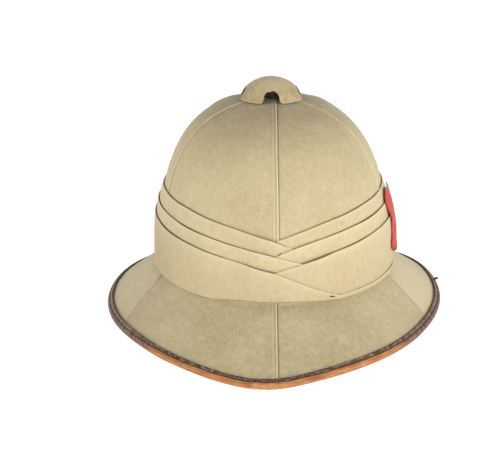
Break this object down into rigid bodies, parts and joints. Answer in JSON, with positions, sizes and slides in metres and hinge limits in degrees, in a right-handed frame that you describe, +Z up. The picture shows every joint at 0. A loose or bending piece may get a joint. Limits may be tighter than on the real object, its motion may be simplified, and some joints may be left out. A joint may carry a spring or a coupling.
{
  "type": "pith helmet",
  "caption": "Sun helmet with a tall rounded crown, sloping oval brim with rolled leather edge, folded cloth band crossing at the front and a domed vent cap.",
  "frame": {"origin": "centre of the box's foot, on the surface that the brim's edge rests on", "axes": "+Z up through the crown, -Y towards the front, +X towards the wearer's left"},
  "size_m": [0.2664, 0.3444, 0.1961],
  "materials": {
    "pith": "matt fibrous pith body",
    "drill": "khaki cotton drill, plain weave, matt",
    "band_cloth": "light khaki cotton, laid in folds, matt",
    "cap_cloth": "khaki cotton drawn over a metal dome",
    "zinc": "dull zinc tube",
    "edge_leather": "brown leather, worn along the roll",
    "red_felt": "faded red wool felt"
  },
  "bodies": {
    "root": {"shell": "pith", "cover_panel_front_right": "drill", "cover_panel_right": "drill", "cover_panel_back_right": "drill", "cover_panel_back_left": "drill", "cover_panel_left": "drill", "cover_panel_front_left": "drill", "puggaree_fold_left_top": "band_cloth", "puggaree_fold_left_middle": "band_cloth", "puggaree_fold_left_bottom": "band_cloth", "puggaree_fold_right_top": "band_cloth", "puggaree_fold_right_middle": "band_cloth", "puggaree_fold_right_bottom": "band_cloth", "ventilator_collar": "zinc", "ventilator_cap": "cap_cloth", "brim_binding": "edge_leather", "flash": "red_felt"}
  },
  "joints": []
}
